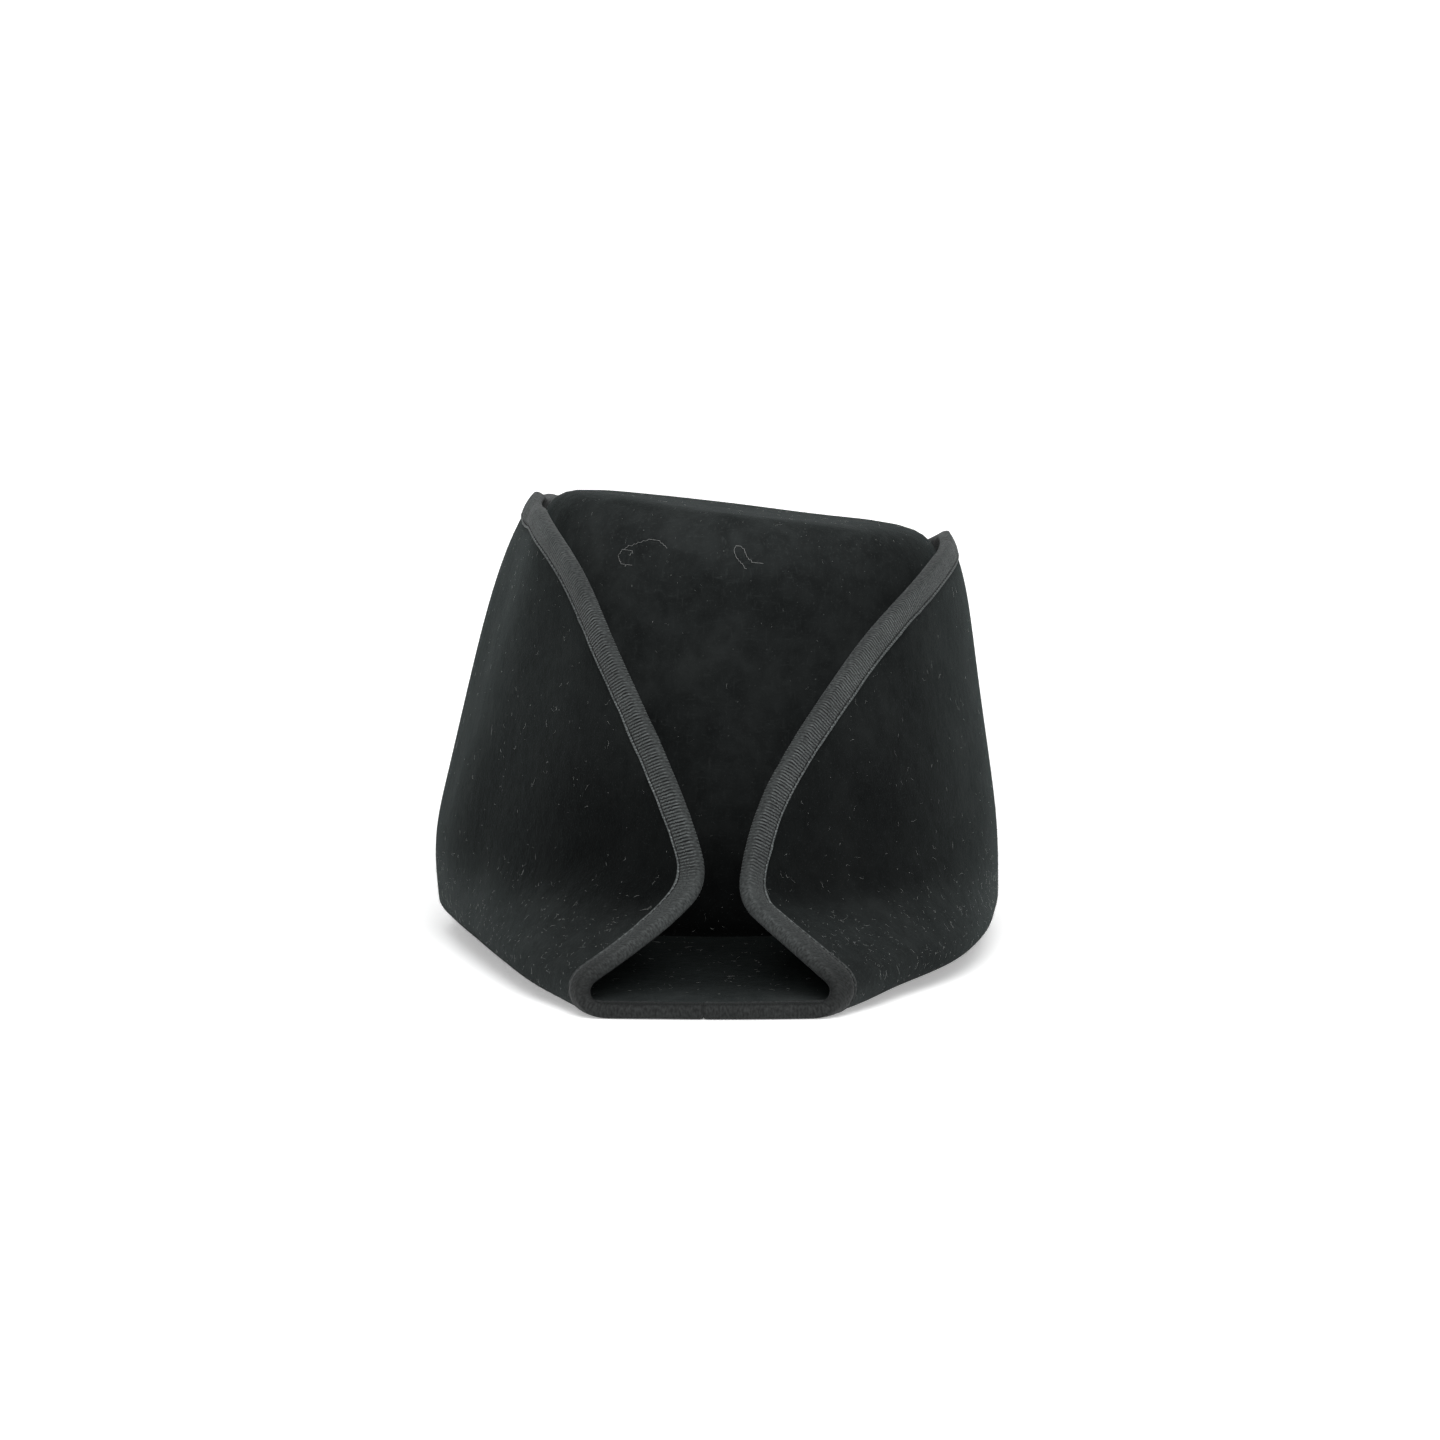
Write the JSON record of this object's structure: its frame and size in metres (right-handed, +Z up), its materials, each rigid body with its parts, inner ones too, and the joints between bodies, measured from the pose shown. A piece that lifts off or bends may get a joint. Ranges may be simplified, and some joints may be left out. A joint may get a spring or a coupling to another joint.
{
  "type": "bicorne hat",
  "caption": "Bicorne hat of black felt: a hollow crown between two tall turned-up flaps that meet in a point at each side, with a ribbon bound over the whole edge.",
  "frame": {"origin": "on the surface that the hat rests on, under the middle of its box", "axes": "+Y from tip to tip, +Z up through the crown, -X to the tall rear flap and +X to the lower front flap"},
  "size_m": [0.2158, 0.4224, 0.1689],
  "materials": {
    "felt": "matte wool felt with a short nap",
    "binding": "ribbed petersham ribbon, dull"
  },
  "bodies": {
    "root": {"felt_body": "felt", "edge_binding": "binding"}
  },
  "joints": []
}
